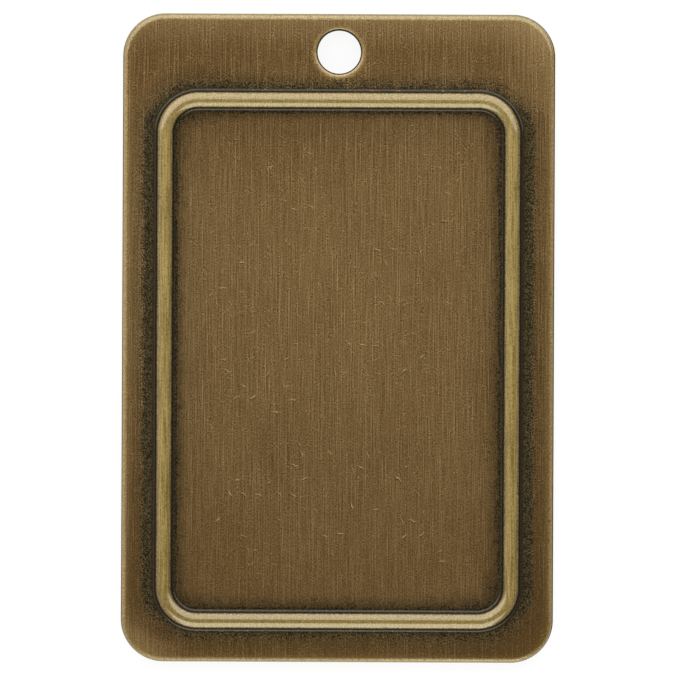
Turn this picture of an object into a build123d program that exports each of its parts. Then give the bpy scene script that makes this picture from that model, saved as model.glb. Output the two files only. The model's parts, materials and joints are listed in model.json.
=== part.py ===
from build123d import *
import os

# Finish sample plate: a flat casting with a hanging hole and a raised half-round bead that frames
# its panel. The back lies on XY with its centre at the origin, +Z leaves the face and +Y points to
# the hanging hole.

# Plate, in millimetres
plate_width = 50.8
plate_height = 76.2
plate_thickness = 2.5
corner_radius = 5.0
rim_round = 0.7
back_round = 0.3

# Hanging hole
hole_diameter = 5.1
hole_from_head = 4.46
hole_mouth_round = 0.4
hole_back_round = 0.2

# Bead frame, measured to the line along its crest
bead_side_inset = 4.98
bead_head_inset = 10.14
bead_foot_inset = 4.86
bead_corner_radius = 3.95
bead_crown_radius = 1.15
bead_rise = 0.8
bead_foot_round = 0.35

# Places that follow from the sizes above
face_z = plate_thickness
hole_y = plate_height / 2 - hole_from_head
bead_x = plate_width / 2 - bead_side_inset
bead_head_y = plate_height / 2 - bead_head_inset
bead_foot_y = bead_foot_inset - plate_height / 2
bead_root = plate_thickness / 4

with BuildPart() as sample_plate:
    # Blank with rounded corners
    with BuildSketch() as outline:
        RectangleRounded(plate_width, plate_height, corner_radius)
    extrude(amount=plate_thickness)
    rim_edges = faces().sort_by(Axis.Z)[-1].edges()
    fillet(rim_edges, rim_round)
    back_edges = faces().sort_by(Axis.Z)[0].edges()
    fillet(back_edges, back_round)

    # Hanging hole near the head, its mouth worn rounder than its back
    with Locations((0, hole_y, face_z)):
        Hole(hole_diameter / 2)
    hole_rings = edges().filter_by(GeomType.CIRCLE).filter_by(lambda ring: ring.is_closed).sort_by(Axis.Z)
    fillet(hole_rings[-1], hole_mouth_round)
    fillet(hole_rings[0], hole_back_round)

    # Bead: a round section sunk in the face and carried round the frame
    with BuildLine(Plane.XY.offset(face_z)) as frame_line:
        FilletPolyline(
            (-bead_x, bead_foot_y),
            (bead_x, bead_foot_y),
            (bead_x, bead_head_y),
            (-bead_x, bead_head_y),
            radius=bead_corner_radius,
            close=True,
        )
    start_plane = Plane(
        origin=frame_line.line @ 0,
        x_dir=Vector(0, 0, 1).cross(frame_line.line % 0),
        z_dir=frame_line.line % 0,
    )
    with BuildSketch(start_plane) as bead_section:
        with Locations((0, bead_rise - bead_crown_radius)):
            Circle(bead_crown_radius)
        with Locations((0, -bead_root)):
            Rectangle(
                2 * bead_crown_radius,
                bead_root + bead_rise,
                align=(Align.CENTER, Align.MIN),
                mode=Mode.INTERSECT,
            )
    sweep(path=frame_line.line)
    foot_edges = edges(Select.LAST).filter_by_position(Axis.Z, face_z, face_z)
    fillet(foot_edges, bead_foot_round)

sample_plate.part.label = "sample_plate"
os.makedirs("parts", exist_ok=True)
export_step(sample_plate.part, "parts/sample_plate.step")
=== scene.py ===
import json
import math
import bmesh
import bpy
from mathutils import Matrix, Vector


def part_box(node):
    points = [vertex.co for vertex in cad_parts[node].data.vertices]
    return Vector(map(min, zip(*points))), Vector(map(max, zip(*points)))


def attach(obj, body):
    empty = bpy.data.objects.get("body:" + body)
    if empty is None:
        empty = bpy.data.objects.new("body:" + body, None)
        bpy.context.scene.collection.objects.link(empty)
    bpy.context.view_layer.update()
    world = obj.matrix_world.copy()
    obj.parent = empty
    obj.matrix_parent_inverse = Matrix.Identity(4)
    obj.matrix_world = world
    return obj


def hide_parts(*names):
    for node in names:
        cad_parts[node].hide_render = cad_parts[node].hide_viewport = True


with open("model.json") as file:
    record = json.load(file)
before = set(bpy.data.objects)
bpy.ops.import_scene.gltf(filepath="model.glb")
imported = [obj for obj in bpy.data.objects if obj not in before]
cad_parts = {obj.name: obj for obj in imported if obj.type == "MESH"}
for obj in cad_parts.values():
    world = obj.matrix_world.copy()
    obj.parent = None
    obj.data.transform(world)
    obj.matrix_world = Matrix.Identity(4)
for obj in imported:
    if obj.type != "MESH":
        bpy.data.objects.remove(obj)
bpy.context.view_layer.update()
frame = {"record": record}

mm = 0.001
quarterTurn = 90  # degrees
plateLow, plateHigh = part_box("sample_plate")
mounts = {m["name"]: m for m in frame["record"]["mounts"]}
print("frame loaded, plate", [round(v / mm, 2) for v in plateHigh - plateLow], "mm")

# Sizes of the plate, its hole and its bead, in metres
plate = {
    "halfWidth": plateHigh.x,
    "halfHeight": plateHigh.y,
    "faceZ": 2.5 * mm,
    "cornerRadius": 5.0 * mm,
    "rimRound": 0.7 * mm,
    "backRound": 0.3 * mm,
    "cornerSteps": 24,
    "sideSteps": 18,
    "endSteps": 12,
    "rimSteps": 12,
    "backSteps": 6,
    "flatStrip": 0.06 * mm,  # narrow ring of faces that keeps a flat's shading flat
    "levelWithin": 0.001 * mm,
    "mergeWithin": 0.0005 * mm,
}
hole = {
    "x": mounts["hang_hole"]["pos_m"][0],
    "y": mounts["hang_hole"]["pos_m"][1],
    "radius": mounts["hang_hole"]["dims"]["r_mm"] * mm,
    "mouthRound": 0.4 * mm,
    "backRound": 0.2 * mm,
    "roundSteps": 8,
    "turnSteps": 128,
}
bead = {
    "sideInset": 4.98 * mm,  # from the plate's edges to the crest line
    "headInset": 10.14 * mm,
    "footInset": 4.86 * mm,
    "cornerRadius": 3.95 * mm,
    "crownRadius": 1.15 * mm,
    "rise": plateHigh.z - plate["faceZ"],
    "footRound": 0.35 * mm,
    "crownSteps": 32,
    "footSteps": 10,
}
bead["halfWidth"] = plate["halfWidth"] - bead["sideInset"]
bead["headY"] = plate["halfHeight"] - bead["headInset"]
bead["footY"] = bead["footInset"] - plate["halfHeight"]
bead["crownZ"] = plate["faceZ"] + bead["rise"] - bead["crownRadius"]
bead["footZ"] = plate["faceZ"] + bead["footRound"]
bead["reach"] = bead["crownRadius"] + bead["footRound"]
# from the crest line to the end of the foot's round
bead["spread"] = math.sqrt(bead["reach"] ** 2 - (bead["footZ"] - bead["crownZ"]) ** 2)


def turnPoint(bm, point, centre, degrees, steps):
    # carries a point round an arc in a plane across X
    turned = bmesh.ops.spin(
        bm, geom=[point], cent=centre, axis=(1, 0, 0), angle=math.radians(degrees), steps=steps
    )
    return [g for g in turned["geom_last"] if isinstance(g, bmesh.types.BMVert)][0]


def dropPoint(bm, point, depth):
    pulled = bmesh.ops.extrude_vert_indiv(bm, verts=[point])
    bmesh.ops.translate(bm, verts=pulled["verts"], vec=(0, 0, -depth))
    return pulled["verts"][0]


def newGeom(bm, vertCount, edgeCount):
    bm.verts.ensure_lookup_table()
    bm.edges.ensure_lookup_table()
    return bm.verts[vertCount:] + bm.edges[edgeCount:]


def carryRound(bm, profile, halfWidth, footY, headY, radius):
    # from the left of the foot run, counter-clockwise round a frame with round corners
    across = 2 * (halfWidth - radius)
    along = headY - footY - 2 * radius
    right, left = halfWidth - radius, radius - halfWidth
    low, high = footY + radius, headY - radius
    runs = (
        ((across, 0, 0), plate["endSteps"], (right, low, 0)),
        ((0, along, 0), plate["sideSteps"], (right, high, 0)),
        ((-across, 0, 0), plate["endSteps"], (left, high, 0)),
        ((0, -along, 0), plate["sideSteps"], (left, low, 0)),
    )
    for run, steps, corner in runs:
        step = Vector(run) / steps
        pulled = bmesh.ops.spin(bm, geom=profile, axis=(0, 0, 1), dvec=step, angle=0, steps=steps)
        turned = bmesh.ops.spin(
            bm, geom=pulled["geom_last"], cent=corner, axis=(0, 0, 1),
            angle=math.radians(quarterTurn), steps=plate["cornerSteps"],
        )
        profile = turned["geom_last"]


def addRim(bm):
    vertCount, edgeCount = len(bm.verts), len(bm.edges)
    startX = plate["cornerRadius"] - plate["halfWidth"]
    footEdge = -plate["halfHeight"]
    front, back = plate["rimRound"], plate["backRound"]
    point = bm.verts.new((startX, footEdge + front, plate["faceZ"]))
    rimCentre = (startX, footEdge + front, plate["faceZ"] - front)
    point = turnPoint(bm, point, rimCentre, quarterTurn, plate["rimSteps"])
    point = dropPoint(bm, point, plate["faceZ"] - front - back)
    turnPoint(bm, point, (startX, footEdge + back, back), quarterTurn, plate["backSteps"])
    profile = newGeom(bm, vertCount, edgeCount)
    carryRound(bm, profile, plate["halfWidth"], footEdge, plate["halfHeight"], plate["cornerRadius"])


def addBead(bm):
    vertCount, edgeCount = len(bm.verts), len(bm.edges)
    startX = bead["cornerRadius"] - bead["halfWidth"]
    footIn, footOut = bead["footY"] + bead["spread"], bead["footY"] - bead["spread"]
    sweep = math.degrees(math.asin(bead["spread"] / bead["reach"]))
    point = bm.verts.new((startX, footIn, plate["faceZ"]))
    point = turnPoint(bm, point, (startX, footIn, bead["footZ"]), -sweep, bead["footSteps"])
    point = turnPoint(bm, point, (startX, bead["footY"], bead["crownZ"]), 2 * sweep, bead["crownSteps"])
    turnPoint(bm, point, (startX, footOut, bead["footZ"]), -sweep, bead["footSteps"])
    profile = newGeom(bm, vertCount, edgeCount)
    carryRound(bm, profile, bead["halfWidth"], bead["footY"], bead["headY"], bead["cornerRadius"])


def addHole(bm):
    vertCount, edgeCount = len(bm.verts), len(bm.edges)
    mouth, back = hole["mouthRound"], hole["backRound"]
    wallY = hole["y"] + hole["radius"]
    point = bm.verts.new((hole["x"], wallY + mouth, plate["faceZ"]))
    mouthCentre = (hole["x"], wallY + mouth, plate["faceZ"] - mouth)
    point = turnPoint(bm, point, mouthCentre, quarterTurn, hole["roundSteps"])
    point = dropPoint(bm, point, plate["faceZ"] - mouth - back)
    turnPoint(bm, point, (hole["x"], wallY + back, back), quarterTurn, hole["roundSteps"])
    profile = newGeom(bm, vertCount, edgeCount)
    bmesh.ops.spin(
        bm, geom=profile, cent=(hole["x"], hole["y"], 0), axis=(0, 0, 1),
        angle=2 * math.pi, steps=hole["turnSteps"], use_merge=True,
    )


def fillFlat(bm, edges, up):
    made = bmesh.ops.triangle_fill(bm, edges=edges, use_beauty=True, normal=(0, 0, up))
    faces = [g for g in made["geom"] if isinstance(g, bmesh.types.BMFace)]
    bmesh.ops.inset_region(
        bm, faces=faces, thickness=plate["flatStrip"], use_boundary=True, use_even_offset=True
    )


def openRings(bm, z):
    near = plate["levelWithin"]
    return [e for e in bm.edges if e.is_boundary and all(abs(v.co.z - z) < near for v in e.verts)]


def insideBead(edge):
    # the crest line's corners are round, so a point counts from the middle of its corner
    point = edge.verts[0].co
    pastX = max(abs(point.x) - bead["halfWidth"] + bead["cornerRadius"], 0)
    pastY = max(point.y - bead["headY"], bead["footY"] - point.y) + bead["cornerRadius"]
    return math.hypot(pastX, max(pastY, 0)) < bead["cornerRadius"]


def makePlate():
    bm = bmesh.new()
    addRim(bm)
    addBead(bm)
    addHole(bm)
    bmesh.ops.remove_doubles(bm, verts=bm.verts[:], dist=plate["mergeWithin"])
    faceRings = openRings(bm, plate["faceZ"])
    fillFlat(bm, [e for e in faceRings if insideBead(e)], 1)
    fillFlat(bm, [e for e in faceRings if not insideBead(e)], 1)
    fillFlat(bm, openRings(bm, 0.0), -1)
    bmesh.ops.recalc_face_normals(bm, faces=bm.faces[:])
    for face in bm.faces:
        face.smooth = True
    openEdges = sum(e.is_boundary for e in bm.edges)
    mesh = bpy.data.meshes.new("finish_plate")
    bm.to_mesh(mesh)
    bm.free()
    piece = bpy.data.objects.new("finish_plate", mesh)
    bpy.context.scene.collection.objects.link(piece)
    print("plate modelled,", len(mesh.polygons), "faces,", openEdges, "open edges")
    return piece


# Node helpers: a value is a number or colour, or the output that feeds the socket
def feed(tree, socket, value):
    if isinstance(value, bpy.types.NodeSocket):
        tree.links.new(value, socket)
    else:
        socket.default_value = value


def calc(tree, operation, *values):
    node = tree.nodes.new("ShaderNodeMath")
    node.operation = operation
    for socket, value in zip(node.inputs, values):
        feed(tree, socket, value)
    return node.outputs[0]


def chain(tree, operation, first, *others):
    for other in others:
        first = calc(tree, operation, first, other)
    return first


def product(tree, *values):
    return chain(tree, "MULTIPLY", *values)


def total(tree, *values):
    return chain(tree, "ADD", *values)


def most(tree, *values):
    return chain(tree, "MAXIMUM", *values)


def less(tree, value, *taken):
    return chain(tree, "SUBTRACT", value, *taken)


def without(tree, value):
    return less(tree, 1.0, value)


def weighted(tree, value, weight, base):
    return calc(tree, "MULTIPLY_ADD", value, weight, base)


def clamp(tree, value):
    return calc(tree, "MINIMUM", most(tree, value, 0.0), 1.0)


def swing(tree, base, noise, weights):
    # base plus the swing of each named noise about its middle
    level = less(tree, base, sum(weights.values()) / 2)
    for name, weight in weights.items():
        level = weighted(tree, noise[name], weight, level)
    return level


def ease(tree, value, span, start=0.0, end=1.0):
    # turns start into end while the value goes through its span
    node = tree.nodes.new("ShaderNodeMapRange")
    node.interpolation_type = "SMOOTHSTEP"
    names = ("Value", "From Min", "From Max", "To Min", "To Max")
    for name, setting in zip(names, (value, *span, start, end)):
        feed(tree, node.inputs[name], setting)
    return node.outputs["Result"]


def mixColour(tree, share, under, over, clampShare=True):
    node = tree.nodes.new("ShaderNodeMix")
    node.data_type = "RGBA"
    node.clamp_factor = clampShare
    feed(tree, node.inputs[0], share)
    feed(tree, node.inputs[6], under)  # 6, 7 and 2 are the node's colour sockets
    feed(tree, node.inputs[7], over)
    return node.outputs[2]


def vectorCalc(tree, operation, *values):
    node = tree.nodes.new("ShaderNodeVectorMath")
    node.operation = operation
    for socket, value in zip(node.inputs, values):
        feed(tree, socket, value)
    return node.outputs["Value"] if operation == "LENGTH" else node.outputs["Vector"]


def splitXyz(tree, vector):
    node = tree.nodes.new("ShaderNodeSeparateXYZ")
    feed(tree, node.inputs[0], vector)
    return node.outputs


noiseShift = (1.0, 1.7, 0.6)  # cells that a seed moves a noise by
markShift = (1.0, 2.3, 0.0)


def grain(tree, coords, pitch, detail, seed, aside=0.0, output="Fac"):
    # noise whose cells measure pitch (x, y, z) in millimetres, moved aside along x
    moved = [share * seed for share in noiseShift]
    moved[0] += aside / pitch[0]
    mapping = tree.nodes.new("ShaderNodeMapping")
    feed(tree, mapping.inputs["Vector"], coords)
    mapping.inputs["Scale"].default_value = [1 / p for p in pitch]
    mapping.inputs["Location"].default_value = moved
    node = tree.nodes.new("ShaderNodeTexNoise")
    node.inputs["Scale"].default_value = 1.0
    node.inputs["Detail"].default_value = detail
    tree.links.new(mapping.outputs[0], node.inputs["Vector"])
    return node.outputs[output]


def scatter(tree, coords, pitch, seed):
    # one mark to a cell of pitch (x, y): the offset from its middle, and two random numbers
    wide, tall = pitch
    shift = [share * seed for share in markShift]
    moved = vectorCalc(tree, "MULTIPLY_ADD", coords, (1 / wide, 1 / tall, 0), shift)
    node = tree.nodes.new("ShaderNodeTexVoronoi")
    node.voronoi_dimensions = "2D"
    node.inputs["Scale"].default_value = 1.0
    tree.links.new(moved, node.inputs["Vector"])
    offset = vectorCalc(tree, "SUBTRACT", moved, node.outputs["Position"])
    offset = vectorCalc(tree, "MULTIPLY", offset, (wide, tall, 0))
    first, second, _ = splitXyz(tree, node.outputs["Color"])
    return offset, first, second


def frameOffset(tree, coords, centre, half, radius):
    # distance from a frame with round corners, below zero inside it, in millimetres
    fromCentre = vectorCalc(tree, "SUBTRACT", coords, centre)
    flat = vectorCalc(tree, "MULTIPLY", fromCentre, (1, 1, 0))
    core = (half[0] - radius, half[1] - radius, 0)
    past = vectorCalc(tree, "SUBTRACT", vectorCalc(tree, "ABSOLUTE", flat), core)
    outside = vectorCalc(tree, "LENGTH", vectorCalc(tree, "MAXIMUM", past, (0, 0, 0)))
    pastX, pastY, _ = splitXyz(tree, past)
    inside = calc(tree, "MINIMUM", most(tree, pastX, pastY), 0.0)
    return less(tree, total(tree, outside, inside), radius), less(tree, pastX, pastY)


# Antique brass. Colours are for a light level of one; lengths and places are millimetres
brass = {
    "brownLow": (0.088, 0.046, 0.014, 1),
    "brownHigh": (0.242, 0.159, 0.073, 1),
    "goldLow": (0.185, 0.118, 0.024, 1),
    "goldHigh": (0.400, 0.295, 0.105, 1),
    "edgeLow": (0.270, 0.175, 0.060, 1),
    "edgeHigh": (0.500, 0.350, 0.145, 1),
    "patinaThin": (0.078, 0.060, 0.031, 1),
    "patinaThick": (0.010, 0.008, 0.004, 1),
    "wallDark": (0.018, 0.014, 0.007, 1),
    "wallLight": (0.075, 0.048, 0.018, 1),
    # a nick's painted highlight, and the dark of its painted shadow and of pits
    "nickHighlight": (0.430, 0.325, 0.170, 1),
    "nickShadowAndPitDark": (0.050, 0.028, 0.008, 1),
}
grains = {  # size of a grain across, along and up, its detail, its seed
    "speck": ((0.11, 0.15, 0.11), 0.0, 3.0),
    "mottle": ((0.15, 0.15, 0.15), 1.0, 5.0),
    "grit": ((0.15, 0.17, 0.15), 0.0, 19.0),
    "streak": ((0.12, 4.0, 1.0), 0.0, 7.0),
    "brush": ((0.135, 10.0, 1.0), 0.0, 13.0),
    "bunch": ((0.7, 6.0, 1.0), 1.0, 29.0),
    "ripple": ((0.42, 0.14, 0.4), 0.0, 23.0),
    "patch": ((0.9, 1.4, 0.9), 2.0, 9.0),
    "broad": ((7.0, 11.0, 7.0), 2.0, 11.0),
    "cluster": ((6.0, 5.0, 6.0), 1.0, 17.0),
}
# the same brush lines, moved aside by a groove's width
grooveWidth = 0.125
grains["besideStreak"] = (*grains["streak"], grooveWidth)
grains["besideBrush"] = (*grains["brush"], grooveWidth)
zones = {  # where the plate's ends and its right side begin
    "head": (33.0, 37.0),
    "foot": (-33.0, -37.0),
    "right": (15.0, 25.0),
}


def measureSpot(tree):
    # where a point of the surface lies on the plate
    where = tree.nodes.new("ShaderNodeTexCoord").outputs["Object"]
    coords = vectorCalc(tree, "MULTIPLY", where, (1 / mm, 1 / mm, 1 / mm))
    across, along, height = splitXyz(tree, coords)
    beadCentre = (0, (bead["headY"] + bead["footY"]) / 2 / mm, 0)
    beadHalf = (bead["halfWidth"] / mm, (bead["headY"] - bead["footY"]) / 2 / mm)
    fromBead, beadSide = frameOffset(tree, coords, beadCentre, beadHalf, bead["cornerRadius"] / mm)
    plateHalf = (plate["halfWidth"] / mm, plate["halfHeight"] / mm)
    fromRim, _ = frameOffset(tree, coords, (0, 0, 0), plateHalf, plate["cornerRadius"] / mm)
    fromHole = vectorCalc(tree, "SUBTRACT", coords, (hole["x"] / mm, hole["y"] / mm, 0))
    fromHole = vectorCalc(tree, "MULTIPLY", fromHole, (1, 1, 0))
    return {
        "coords": coords,
        "across": across,
        "along": along,
        "lift": less(tree, height, plate["faceZ"] / mm),  # over the face
        "fromBead": fromBead,  # from the crest line
        "beadSide": beadSide,  # above zero beside the long runs, below zero beside the ends
        "outward": less(tree, fromBead, bead["spread"] / mm),
        "inward": weighted(tree, fromBead, -1.0, -bead["spread"] / mm),
        "fromRim": fromRim,
        "fromHole": vectorCalc(tree, "LENGTH", fromHole),
        "atHead": ease(tree, along, zones["head"]),
        "atFoot": ease(tree, along, zones["foot"]),
        "atRight": ease(tree, across, zones["right"]),
    }


nicks = {
    "long": {
        "pitch": (2.0, 1.6),
        "length": 1.2,
        "width": 0.08,
        "lean": 0.3,
        "turn": 2.0,
        "share": 0.7,
        "seed": 4.0,
    },
    "short": {
        "pitch": (1.3, 1.3),
        "length": 0.5,
        "width": 0.08,
        "lean": 0.2,
        "turn": 2.6,
        "share": 0.5,
        "seed": 8.0,
    },
    "shadow": (0.2, 1.6, 0),  # where a nick's painted shadow lies, in half lengths and half widths
    "taper": (1.0, 0.2),
    "fewStrong": 1.5,  # a higher power leaves fewer strong nicks
    "shortHighlight": 0.6,
    "strength": 0.9,
    "fromBead": (2.0, 7.0),
    "cluster": (0.38, 0.54),
}
pits = {
    "fine": {"pitch": (0.8, 0.8), "radius": 0.1, "seed": 6.0},
    "edge": {"pitch": (1.4, 1.4), "radius": 0.16, "seed": 2.0},
    "core": 0.4,  # share of a pit's radius that is fully dark
    "ragged": 0.4,  # how far an outline strays
    "raggedDetail": 1.0,
    "raggedSeed": 15.0,
}


def nickHighlightAndShadow(tree, coords, marks):
    # a painted highlight with a painted shadow under it, the lit and shaded sides of a dent, leaning across
    # the brushing
    offset, turn, pick = scatter(tree, coords, marks["pitch"], marks["seed"])
    angle = weighted(tree, turn, marks["turn"], marks["lean"] - marks["turn"] / 2)
    turned = tree.nodes.new("ShaderNodeVectorRotate")
    turned.rotation_type = "Z_AXIS"
    feed(tree, turned.inputs["Vector"], offset)
    feed(tree, turned.inputs["Angle"], angle)
    lens = vectorCalc(tree, "MULTIPLY", turned.outputs[0], (2 / marks["length"], 1 / marks["width"], 0))
    below = vectorCalc(tree, "ADD", lens, nicks["shadow"])
    strength = calc(tree, "POWER", ease(tree, pick, (1 - marks["share"], 1.0)), nicks["fewStrong"])
    light = ease(tree, vectorCalc(tree, "LENGTH", lens), nicks["taper"])
    under = ease(tree, vectorCalc(tree, "LENGTH", below), nicks["taper"])
    return product(tree, light, strength), product(tree, under, strength)


def pitDots(tree, coords, marks):
    offset, size, _ = scatter(tree, coords, marks["pitch"], marks["seed"])
    edge = product(tree, size, marks["radius"])
    return ease(tree, vectorCalc(tree, "LENGTH", offset), (edge, product(tree, edge, pits["core"])))


def findMarks(tree, spot, noise):
    # nicks come in clusters on the panel, pits all over
    side = pits["ragged"]
    stray = grain(
        tree, spot["coords"], (side, side, side), pits["raggedDetail"], pits["raggedSeed"], output="Color"
    )
    ragged = vectorCalc(tree, "MULTIPLY_ADD", stray, (side, side, 0), spot["coords"])
    longHighlight, longShadow = nickHighlightAndShadow(tree, ragged, nicks["long"])
    shortHighlight, shortShadow = nickHighlightAndShadow(tree, ragged, nicks["short"])
    light = clamp(tree, weighted(tree, shortHighlight, nicks["shortHighlight"], longHighlight))
    dark = clamp(tree, total(tree, longShadow, shortShadow))
    onPanel = ease(tree, spot["inward"], nicks["fromBead"])
    onPanel = product(tree, onPanel, ease(tree, noise["cluster"], nicks["cluster"]))
    return {
        "light": product(tree, light, onPanel),
        "dark": product(tree, dark, onPanel),
        "fine": pitDots(tree, ragged, pits["fine"]),
        "edge": pitDots(tree, ragged, pits["edge"]),
    }


buffing = {  # spans over which the dark gives way to bared brass, and the grain of their edges
    "crownLift": (0.34, 0.62),
    "crownGrain": {"speck": 0.3},
    "mouthReach": (3.32, 2.72),  # from the hole's middle
    "mouthHighlightLean": 0.035,  # more towards the foot: partly painted highlight where the mouth faces the head lamp
    "mouthGrain": {"speck": 0.9, "mottle": 0.8},
    "rimReach": (-0.72, -0.28),  # from the outline
    "rimGrain": {"speck": 0.3},
    "rimFade": (-1.4, -0.5),
    "rimFadeShare": 0.14,
    "headRimMore": 0.12,
    "footRimLess": (-0.22, -0.15),  # on the left, on the right
    "footTurn": (-5.0, 15.0),
}


def findBuffed(tree, spot, noise):
    crown = ease(tree, swing(tree, spot["lift"], noise, buffing["crownGrain"]), buffing["crownLift"])
    overHole = less(tree, spot["along"], hole["y"] / mm)
    # partly painted highlight: the buffed mouth reaches further on the foot side
    mouth = weighted(tree, overHole, buffing["mouthHighlightLean"], spot["fromHole"])
    mouth = ease(tree, swing(tree, mouth, noise, buffing["mouthGrain"]), buffing["mouthReach"])
    footLess = ease(tree, spot["across"], buffing["footTurn"], *buffing["footRimLess"])
    rimFrom = swing(tree, spot["fromRim"], noise, buffing["rimGrain"])
    rimFrom = weighted(tree, spot["atHead"], buffing["headRimMore"], rimFrom)
    rimFrom = weighted(tree, spot["atFoot"], footLess, rimFrom)
    rim = ease(tree, rimFrom, buffing["rimReach"])
    rimFade = ease(tree, rimFrom, buffing["rimFade"], 0.0, buffing["rimFadeShare"])
    return {"crown": crown, "mouth": mouth, "edges": most(tree, rim, rimFade, mouth)}


bands = {  # the dark beside the bead; pairs are beside its ends and beside its long runs
    "turn": (-1.0, 5.0),  # from ends to long runs
    "reach": (0.72, 1.36),  # from the bead's foot
    "rightLess": 0.06,
    "cornerReach": 0.4,
    "ragged": (2.3, 1.0),  # how far specks scatter past the dark's edge
    "scatterGrain": {"patch": 0.8, "mottle": 1.0, "grit": 1.5},
    "speckEdge": (0.22, -0.22),
    "speckShare": 0.95,
    "halo": (1.9, 3.6),  # thin film beyond the dark
    "haloFull": 0.5,
    "haloShare": 0.28,
    "haloGrain": {"speck": 1.6},
    "footHalo": (-20.0, -36.0),
    "footHaloMore": 1.0,
    "cornerHalo": 2.0,
    "cornerSpot": (-200.0, -560.0),  # across times along, at the upper left and the lower right
    "cornerMore": 0.6,
    "crest": (-0.05, 0.05),  # where the outer dark takes over from the inner
    "middle": (-10.0, 10.0),
    "thickness": 0.7,
    "thicknessGrain": {"speck": 3.0},
    "footThick": (0.3, 0.0),
    "footThickness": 0.75,
}
insideBand = {  # the soft dark on the panel: patina, partly painted shade along the bead's inner foot
    "turn": (-3.0, 3.0),
    "ends": (2.4, 1.85),  # at the foot, at the head
    "sides": (2.05, 2.3),  # on the left, on the right
    "cornerReach": 0.7,
    "diagonal": (5.0, 0.0),
    "diagonalMore": 0.8,
    "reachGrain": {"patch": 1.4},
    "root": -0.8,
    "line": (0.7, 0.05),
    "haze": (5.0, 1.0),
    "hazeShare": 0.12,
    "grain": {"streak": 0.9, "speck": 1.2, "mottle": 0.8},
}


def darkOutside(tree, spot, noise, corner):
    # an edge of specks, and a film that fades past it
    beadSide, outward, turn = spot["beadSide"], spot["outward"], bands["turn"]
    reach = ease(tree, beadSide, turn, *bands["reach"])
    reach = less(tree, reach, ease(tree, spot["across"], bands["middle"], 0.0, bands["rightLess"]))
    reach = weighted(tree, corner, bands["cornerReach"], reach)
    scattered = swing(tree, 0.0, noise, bands["scatterGrain"])
    ragged = ease(tree, beadSide, turn, *bands["ragged"])
    past = weighted(tree, scattered, ragged, less(tree, outward, reach))
    specks = ease(tree, past, bands["speckEdge"], 0.0, bands["speckShare"])
    halo = ease(tree, beadSide, turn, *bands["halo"])
    halo = total(tree, halo, ease(tree, spot["along"], bands["footHalo"], 0.0, bands["footHaloMore"]))
    halo = weighted(tree, corner, bands["cornerHalo"], halo)
    fullHalo = product(tree, halo, bands["haloFull"])
    film = ease(tree, outward, (halo, fullHalo), 0.0, bands["haloShare"])
    return most(tree, specks, product(tree, film, swing(tree, 1.0, noise, bands["haloGrain"])))


def darkInside(tree, spot, noise, corner):
    inward, beadSide = spot["inward"], spot["beadSide"]
    ends = ease(tree, spot["along"], bands["middle"], *insideBand["ends"])
    sides = ease(tree, spot["across"], bands["middle"], *insideBand["sides"])
    reach = ease(tree, beadSide, insideBand["turn"], ends, sides)
    reach = weighted(tree, corner, insideBand["cornerReach"], reach)
    diagonal = calc(tree, "ABSOLUTE", beadSide)
    diagonal = ease(tree, diagonal, insideBand["diagonal"], 0.0, insideBand["diagonalMore"])
    reach = total(tree, reach, diagonal)
    reach = product(tree, reach, swing(tree, 1.0, noise, insideBand["reachGrain"]))
    soft = ease(tree, inward, (reach, insideBand["root"]))
    line = ease(tree, inward, insideBand["line"])
    haze = ease(tree, inward, insideBand["haze"], 0.0, insideBand["hazeShare"])
    return product(tree, most(tree, soft, line, haze), swing(tree, 1.0, noise, insideBand["grain"]))


def findDark(tree, spot, noise, buffed):
    # dark beside the bead: patina where the brush doesn't reach, partly painted shade in the creases at the
    # bead's foot
    corner = product(tree, spot["across"], spot["along"])
    corner = ease(tree, corner, bands["cornerSpot"], 0.0, bands["cornerMore"])
    corner = product(tree, corner, ease(tree, spot["beadSide"], bands["turn"], 1.0, 0.0))
    outer = darkOutside(tree, spot, noise, corner)
    inner = darkInside(tree, spot, noise, corner)
    beside = ease(tree, spot["fromBead"], bands["crest"])
    dark = total(tree, product(tree, outer, beside), product(tree, inner, without(tree, beside)))
    return product(tree, clamp(tree, dark), without(tree, buffed["crown"]))


def patinaColour(tree, spot, noise):
    thickness = swing(tree, bands["thickness"], noise, bands["thicknessGrain"])
    # thickest at the bead's outer foot: patina, partly painted shade in the crease
    atFoot = ease(tree, spot["outward"], bands["footThick"], 0.0, bands["footThickness"])
    return mixColour(tree, most(tree, thickness, atFoot), brass["patinaThin"], brass["patinaThick"])


brushing = {
    "base": 0.43,
    "grain": {"brush": 0.2, "streak": 0.25, "grit": 1.1, "patch": 0.25, "broad": 0.22},
    "longGroove": 0.48,
    "shortGroove": 0.68,
    "grooveShade": -0.08,  # the most that a groove's painted shade takes
    "bunched": (0.36, 0.64),
    "bunchDepth": (0.45, 1.5),
    "footSpan": (-2.0, -30.0),
    "footGroove": 0.7,
    "chatterSpots": (0.5, 0.66),
    "chatterGrain": {"ripple": 0.9, "grit": 1.0},
    "footChatter": 0.35,
}


def grooveHighlightAndShade(tree, line, beside):
    # painted highlight and painted shade: the lit and shaded sides of a groove
    return most(tree, less(tree, line, beside), brushing["grooveShade"])


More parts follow.
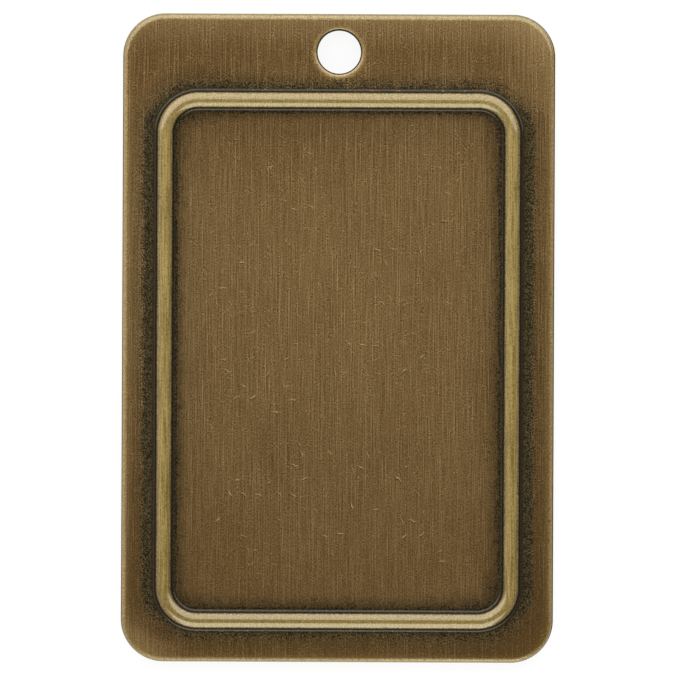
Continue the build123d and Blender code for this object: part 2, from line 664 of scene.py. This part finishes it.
def brushTone(tree, spot, noise):
    tone = swing(tree, brushing["base"], noise, brushing["grain"])
    longGroove = grooveHighlightAndShade(tree, noise["brush"], noise["besideBrush"])
    shortGroove = grooveHighlightAndShade(tree, noise["streak"], noise["besideStreak"])
    # the grooves' painted highlights and shades go into the brown's tone
    grooves = product(tree, longGroove, brushing["longGroove"])
    grooves = weighted(tree, shortGroove, brushing["shortGroove"], grooves)
    bunched = ease(tree, noise["bunch"], brushing["bunched"], *brushing["bunchDepth"])
    footGroove = ease(tree, spot["along"], brushing["footSpan"], 1.0, brushing["footGroove"])
    tone = weighted(tree, grooves, product(tree, bunched, footGroove), tone)
    # the brush chattered in spots
    chatter = ease(tree, noise["patch"], brushing["chatterSpots"])
    footChatter = ease(tree, spot["along"], brushing["footSpan"], 1.0, brushing["footChatter"])
    ripples = swing(tree, 0.0, noise, brushing["chatterGrain"])
    return total(tree, tone, product(tree, chatter, footChatter, ripples))


shadeAndTone = {  # painted shade and highlight, and patches darker or lighter; pairs of tones are left and right
    # painted shade: the next three entries darken the tone towards the foot
    "footShadeRange": (-26.0, 0.0),
    "footShadeAcross": (-25.0, 25.0),
    "footShadeSlope": (0.008, 0.004),  # tone lost to a millimetre towards the foot
    "headAlong": (14.0, 27.0),
    "headAcross": (-20.0, 20.0),
    "headDark": (0.24, 0.08),
    "headFromBead": (2.0, -2.0),
    "headOutside": 0.5,
    "rightAlong": (36.0, 26.0),
    "rightAcross": (12.0, 25.0),
    "rightDark": 0.2,
    "sideAcross": (-15.0, 20.0),
    "sideDark": (0.13, 0.06),
    "footAlong": (-24.0, -34.0),
    "footAcross": (-12.0, 14.0),
    "footDark": (0.1, 0.18),
    "borderAlong": (8.0, -20.0),
    "borderFromBead": (0.0, 2.0),
    "headBorderStart": (27.5, 31.0),
    "headBorderEnd": (37.5, 33.0),
    "headBorderDark": 0.13,
    "headRimAlong": (33.5, 37.5),
    "headRimLight": 0.22,
    "upperAlong": (23.0, 36.0),
    "upperAcross": (17.0, 26.0),
    "upperRightHighlight": 0.6,
    "lowerAlong": (-31.0, -36.0),
    "lowerAcross": (-17.0, -23.0),
    "lowerFromRim": (-4.0, -0.8),
    "lowerLeftLight": 0.55,
}


# painted shade: the tone darkens towards the foot, below the middle, more on the left
def paintedFootShade(tree, spot):
    low, high = shadeAndTone["footShadeRange"]
    slope = ease(tree, spot["across"], shadeAndTone["footShadeAcross"], *shadeAndTone["footShadeSlope"])
    return product(tree, most(tree, calc(tree, "MINIMUM", spot["along"], high), low), slope)


# painted shade on the upper panel against the head lamp's stronger light; darker patches on the right,
# along the border and at the head
def shadeAndDarkPatches(tree, spot):
    across, along, fromBead = spot["across"], spot["along"], spot["fromBead"]
    head = ease(tree, along, shadeAndTone["headAlong"])
    head = product(tree, head, ease(tree, fromBead, shadeAndTone["headFromBead"], shadeAndTone["headOutside"], 1.0))
    head = product(tree, head, ease(tree, across, shadeAndTone["headAcross"], *shadeAndTone["headDark"]))
    right = ease(tree, across, shadeAndTone["rightAcross"], 0.0, shadeAndTone["rightDark"])
    right = product(tree, right, ease(tree, along, shadeAndTone["rightAlong"]))
    sides = ease(tree, across, shadeAndTone["sideAcross"], *shadeAndTone["sideDark"])
    foot = ease(tree, across, shadeAndTone["footAcross"], *shadeAndTone["footDark"])
    border = ease(tree, along, shadeAndTone["footAlong"], sides, foot)
    border = product(tree, border, ease(tree, along, shadeAndTone["borderAlong"]))
    border = product(tree, border, ease(tree, fromBead, shadeAndTone["borderFromBead"]))
    headBorder = ease(tree, along, shadeAndTone["headBorderEnd"], 0.0, shadeAndTone["headBorderDark"])
    headBorder = product(tree, headBorder, ease(tree, along, shadeAndTone["headBorderStart"]))
    return total(tree, head, right, border, headBorder)


def highlightAndLighterEdges(tree, spot):
    # lighter along the head's rim and at the lower left corner; the upper right corner is a painted
    # highlight of the rim's round
    across, along = spot["across"], spot["along"]
    headRim = ease(tree, along, shadeAndTone["headRimAlong"], 0.0, shadeAndTone["headRimLight"])
    upper = ease(tree, along, shadeAndTone["upperAlong"], 0.0, shadeAndTone["upperRightHighlight"])
    upper = product(tree, upper, ease(tree, across, shadeAndTone["upperAcross"]))
    lower = ease(tree, along, shadeAndTone["lowerAlong"], 0.0, shadeAndTone["lowerLeftLight"])
    lower = product(tree, lower, ease(tree, across, shadeAndTone["lowerAcross"]))
    lower = product(tree, lower, ease(tree, spot["fromRim"], shadeAndTone["lowerFromRim"]))
    return total(tree, headRim, upper, lower)


def brownColour(tree, spot, noise, footShade):
    tone = less(tree, total(tree, brushTone(tree, spot, noise), footShade), shadeAndDarkPatches(tree, spot))
    tone = most(tree, total(tree, tone, highlightAndLighterEdges(tree, spot)), 0.0)
    # past one the brown goes on lightening, so a corner lightened by its painted highlight keeps its grain
    return mixColour(tree, tone, brass["brownLow"], brass["brownHigh"], clampShare=False)


gilding = {
    "base": 0.55,
    "grain": {"speck": 1.6, "grit": 0.4},
    "longRunGrain": {"streak": 1.8},
    "footShadeShare": 0.8,
    "headDim": 0.15,
    "headSpan": (24.0, 29.0),
    "footDim": 0.15,
    "footSpan": (-28.0, -33.0),
    "pitted": -0.9,
    "edgeBase": 0.52,
    "edgeGrain": {"speck": 2.0},
    "rightEdgeShade": -0.2,
    "mouthDim": -0.2,
    "endEdgeBase": 0.46,
    "endEdgeGrain": {"speck": 2.4},
    "endSpan": (32.0, 37.0),
    "edgePitted": 0.8,
}


def goldColour(tree, spot, noise, marks, footShade):
    tone = swing(tree, gilding["base"], noise, gilding["grain"])
    onLongRuns = ease(tree, spot["beadSide"], bands["turn"])
    tone = weighted(tree, swing(tree, 0.0, noise, gilding["longRunGrain"]), onLongRuns, tone)
    # the painted shade towards the foot darkens the bead's gold too
    tone = weighted(tree, footShade, gilding["footShadeShare"], tone)
    headDim = ease(tree, spot["along"], gilding["headSpan"], 0.0, gilding["headDim"])
    footDim = ease(tree, spot["along"], gilding["footSpan"], 0.0, gilding["footDim"])
    tone = weighted(tree, marks["fine"], gilding["pitted"], less(tree, tone, headDim, footDim))
    return mixColour(tree, tone, brass["goldLow"], brass["goldHigh"])


def edgeColour(tree, spot, noise, marks, buffed, footShade):
    # warmer on the long edges and the hole's mouth, paler gold on the head and foot edges
    tone = swing(tree, gilding["edgeBase"], noise, gilding["edgeGrain"])
    # the painted shade towards the foot darkens the edges too
    tone = weighted(tree, footShade, gilding["footShadeShare"], tone)
    # painted shade: the right edge is darker, as the light comes more from the left
    tone = weighted(tree, spot["atRight"], gilding["rightEdgeShade"], tone)
    tone = weighted(tree, buffed["mouth"], gilding["mouthDim"], tone)
    edge = mixColour(tree, tone, brass["edgeLow"], brass["edgeHigh"])
    endTone = swing(tree, gilding["endEdgeBase"], noise, gilding["endEdgeGrain"])
    endEdge = mixColour(tree, endTone, brass["goldLow"], brass["goldHigh"])
    atEnds = ease(tree, calc(tree, "ABSOLUTE", spot["along"]), gilding["endSpan"])
    atEnds = product(tree, atEnds, without(tree, buffed["mouth"]))
    edge = mixColour(tree, atEnds, edge, endEdge)
    return mixColour(tree, product(tree, marks["edge"], gilding["edgePitted"]), edge, brass["nickShadowAndPitDark"])


# the outer walls, the back and the hole's wall are dark: patina, and partly painted shade where they would
# reflect the bright floor
walls = {
    "drop": (-0.24, -0.46),  # below the face, where the rim's brass ends
    "headLower": 0.15,
    "footLower": 0.2,
    "rightHigher": -0.06,
    "holeWall": (2.74, 2.66),  # from the hole's middle
    "patinaAndShade": 0.4,
    "patinaAndShadeGrain": {"patch": 1.4, "mottle": 1.2, "speck": 1.2},
    "outsideDrop": (-0.6, -0.9),
    "outsideHole": (2.8, 3.2),
}


def findWall(tree, spot):
    drop = weighted(tree, spot["atHead"], walls["headLower"], spot["lift"])
    drop = weighted(tree, spot["atFoot"], walls["footLower"], drop)
    drop = weighted(tree, spot["atRight"], walls["rightHigher"], drop)
    return most(tree, ease(tree, drop, walls["drop"]), ease(tree, spot["fromHole"], walls["holeWall"]))


def wallColour(tree, noise):
    patinaAndShade = swing(tree, walls["patinaAndShade"], noise, walls["patinaAndShadeGrain"])
    return mixColour(tree, patinaAndShade, brass["wallDark"], brass["wallLight"])


def mixBrass(tree, spot, noise, marks, buffed, dark, wall):
    # painted shade, darker towards the foot
    footShade = paintedFootShade(tree, spot)
    colour = brownColour(tree, spot, noise, footShade)
    colour = mixColour(tree, dark, colour, patinaColour(tree, spot, noise))
    # the nicks' painted shadows, then their painted highlights
    colour = mixColour(tree, product(tree, marks["dark"], nicks["strength"]), colour, brass["nickShadowAndPitDark"])
    colour = mixColour(tree, product(tree, marks["light"], nicks["strength"]), colour, brass["nickHighlight"])
    colour = mixColour(tree, buffed["crown"], colour, goldColour(tree, spot, noise, marks, footShade))
    edge = edgeColour(tree, spot, noise, marks, buffed, footShade)
    colour = mixColour(tree, buffed["edges"], colour, edge)
    # the walls' patina and painted shade
    return mixColour(tree, wall, colour, wallColour(tree, noise))


surface = {
    "roughness": 0.58,
    "roughGrain": {"streak": 0.15, "speck": 0.1},
    "buffedRougher": 0.05,
    "darkDull": 0.5,  # the dark film and the walls are dull, not bare metal
    "cutDepth": 0.012 * mm,
    "cutStrength": 0.6,
    "cutLevel": 0.5,
    "cutGrain": {"streak": 0.6, "brush": 0.5, "speck": 0.5},
    "castGrain": {"patch": 1.5, "mottle": 1.5},
    "beadEdge": (0.03, -0.08),
    "footShine": 0.3,  # lacquer shines on the bead and buffed edges, and lies dull on brushed flats
    "flatShine": 0.05,
    "wallShine": 0.25,
    "headShine": 0.86,
    "lacquerIor": 1.8,
    "lacquerRoughness": 0.12,
    "grazeTint": (0.6, 0.5, 0.35, 1),
}


def cutRelief(tree, noise, marks, wall, outside):
    # brush lines, nicks and pits cut into the metal a little, and the walls are cast
    relief = swing(tree, surface["cutLevel"], noise, surface["cutGrain"])
    relief = less(tree, relief, clamp(tree, total(tree, marks["dark"], marks["fine"])))
    cast = product(tree, swing(tree, surface["cutLevel"], noise, surface["castGrain"]), outside)
    cut = tree.nodes.new("ShaderNodeBump")
    cut.inputs["Strength"].default_value = surface["cutStrength"]
    cut.inputs["Distance"].default_value = surface["cutDepth"]
    feed(tree, cut.inputs["Height"], weighted(tree, relief, without(tree, wall), cast))
    return cut.outputs["Normal"]


def lacquerShine(tree, spot, bright, wall, outside):
    onBead = ease(tree, most(tree, spot["outward"], spot["inward"]), surface["beadEdge"])
    shine = most(tree, bright, product(tree, onBead, surface["footShine"]))
    shine = product(tree, shine, ease(tree, spot["along"], gilding["headSpan"], 1.0, surface["headShine"]))
    shine = weighted(tree, shine, 1 - surface["flatShine"], surface["flatShine"])
    return weighted(tree, outside, surface["wallShine"], product(tree, shine, without(tree, wall)))


def makeBrass():
    material = bpy.data.materials.new("antique_brass")
    material.use_nodes = True
    tree = material.node_tree
    shader = tree.nodes["Principled BSDF"]
    spot = measureSpot(tree)
    noise = {name: grain(tree, spot["coords"], *setting) for name, setting in grains.items()}
    marks = findMarks(tree, spot, noise)
    buffed = findBuffed(tree, spot, noise)
    dark = findDark(tree, spot, noise, buffed)
    wall = findWall(tree, spot)
    # outer walls and back, below the rim's round
    outside = ease(tree, spot["lift"], walls["outsideDrop"])
    outside = product(tree, outside, ease(tree, spot["fromHole"], walls["outsideHole"]))
    bright = product(tree, most(tree, buffed["crown"], buffed["edges"]), without(tree, wall))
    rough = swing(tree, surface["roughness"], noise, surface["roughGrain"])
    dull = most(tree, wall, product(tree, dark, surface["darkDull"]))
    feed(tree, shader.inputs["Base Color"], mixBrass(tree, spot, noise, marks, buffed, dark, wall))
    feed(tree, shader.inputs["Metallic"], without(tree, dull))
    feed(tree, shader.inputs["Roughness"], weighted(tree, bright, surface["buffedRougher"], rough))
    feed(tree, shader.inputs["Normal"], cutRelief(tree, noise, marks, wall, outside))
    feed(tree, shader.inputs["Coat Weight"], lacquerShine(tree, spot, bright, wall, outside))
    shader.inputs["Coat IOR"].default_value = surface["lacquerIor"]
    shader.inputs["Coat Roughness"].default_value = surface["lacquerRoughness"]
    shader.inputs["Specular Tint"].default_value = surface["grazeTint"]
    shader.inputs["Specular IOR Level"].default_value = 0.0
    print("antique brass mixed,", len(tree.nodes), "nodes")
    return material


cameraSet = {
    "sensor": 36.0,
    "distance": 1200 * mm,
    "frameSide": 79.4 * mm,  # what the square picture spans at the plate's edge
    "edgeZ": 1.5 * mm,
    "aside": (-0.065 * mm, 0.07 * mm),
    "rollDegrees": 0.25,
    "clip": (0.01, 10.0),
}


def makeCamera():
    data = bpy.data.cameras.new("camera")
    data.sensor_width = cameraSet["sensor"]
    data.lens = cameraSet["sensor"] * cameraSet["distance"] / cameraSet["frameSide"]
    data.clip_start, data.clip_end = cameraSet["clip"]
    camera = bpy.data.objects.new("camera", data)
    camera.location = (*cameraSet["aside"], cameraSet["edgeZ"] + cameraSet["distance"])
    camera.rotation_euler = (0, 0, math.radians(cameraSet["rollDegrees"]))
    bpy.context.scene.collection.objects.link(camera)
    bpy.context.scene.camera = camera
    print("camera set, lens", round(data.lens), "mm")


floorSet = {
    "side": 4.0,
    "white": (0.9, 0.9, 0.9, 1),
    "thin": (0.11, 0.11, 0.11, 1),  # the part of the white that still takes the plate's shadow
    "glow": 0.89,
}


def makeWhite():
    material = bpy.data.materials.new("white_floor")
    material.use_nodes = True
    tree = material.node_tree
    tree.nodes.remove(tree.nodes["Principled BSDF"])
    paper = tree.nodes.new("ShaderNodeBsdfDiffuse")
    paper.inputs["Color"].default_value = floorSet["white"]
    thin = tree.nodes.new("ShaderNodeBsdfDiffuse")
    thin.inputs["Color"].default_value = floorSet["thin"]
    glow = tree.nodes.new("ShaderNodeEmission")
    glow.inputs["Strength"].default_value = floorSet["glow"]
    lit = tree.nodes.new("ShaderNodeAddShader")
    tree.links.new(thin.outputs[0], lit.inputs[0])
    tree.links.new(glow.outputs[0], lit.inputs[1])
    path = tree.nodes.new("ShaderNodeLightPath")
    rays = [path.outputs[name] for name in ("Is Camera Ray", "Is Glossy Ray", "Is Transmission Ray")]
    choose = tree.nodes.new("ShaderNodeMixShader")
    tree.links.new(most(tree, *rays), choose.inputs[0])
    tree.links.new(paper.outputs[0], choose.inputs[1])
    tree.links.new(lit.outputs[0], choose.inputs[2])
    tree.links.new(choose.outputs[0], tree.nodes["Material Output"].inputs["Surface"])
    return material


def makeFloor():
    bm = bmesh.new()
    bmesh.ops.create_grid(bm, x_segments=1, y_segments=1, size=floorSet["side"] / 2)
    mesh = bpy.data.meshes.new("floor")
    bm.to_mesh(mesh)
    bm.free()
    mesh.materials.append(makeWhite())
    floor = bpy.data.objects.new("floor", mesh)
    bpy.context.scene.collection.objects.link(floor)
    print("floor laid")


# Two white panels lean over the plate from its head and its foot, with a gap between them
lamps = {
    "headPanel": {
        "centre": (0.0, 0.536, 0.245),
        "size": (1.3, 1.023),
        "tilt": -24.9,
        "watts": 8.9,
        "colour": (0.97, 1.0, 0.96),
    },
    "footPanel": {
        "centre": (0.0, -0.644, 0.245),
        "size": (0.7, 0.833),
        "tilt": 31.1,
        "watts": 4.9,
        "colour": (0.97, 1.0, 0.86),
    },
}
worldSet = {  # dim overhead, brighter low down and on the left
    "colour": (1.0, 0.97, 0.93, 1),
    "overhead": 0.15,
    "lowDown": 0.5,
    "leftward": 0.2,
}


def makePanels():
    for name, lamp in lamps.items():
        data = bpy.data.lights.new(name, "AREA")
        data.shape = "RECTANGLE"
        data.size, data.size_y = lamp["size"]
        data.energy = lamp["watts"]
        data.color = lamp["colour"]
        light = bpy.data.objects.new(name, data)
        light.location = lamp["centre"]
        light.rotation_euler = (math.radians(lamp["tilt"]), 0, 0)
        bpy.context.scene.collection.objects.link(light)
    print(len(lamps), "panels lit")


def makeWorld():
    world = bpy.data.worlds.new("studio")
    bpy.context.scene.world = world
    world.use_nodes = True
    tree = world.node_tree
    sky = tree.nodes["Background"]
    sky.inputs["Color"].default_value = worldSet["colour"]
    sideways, _, upward = splitXyz(tree, tree.nodes.new("ShaderNodeTexCoord").outputs["Generated"])
    glow = weighted(tree, without(tree, upward), worldSet["lowDown"], worldSet["overhead"])
    glow = weighted(tree, sideways, -worldSet["leftward"], glow)
    feed(tree, sky.inputs["Strength"], most(tree, glow, 0.0))


makeCamera()
finishPlate = makePlate()
finishPlate.data.materials.append(makeBrass())
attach(finishPlate, "root")
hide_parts("sample_plate")
makeFloor()
makePanels()
makeWorld()
bpy.context.scene.view_settings.view_transform = "Standard"
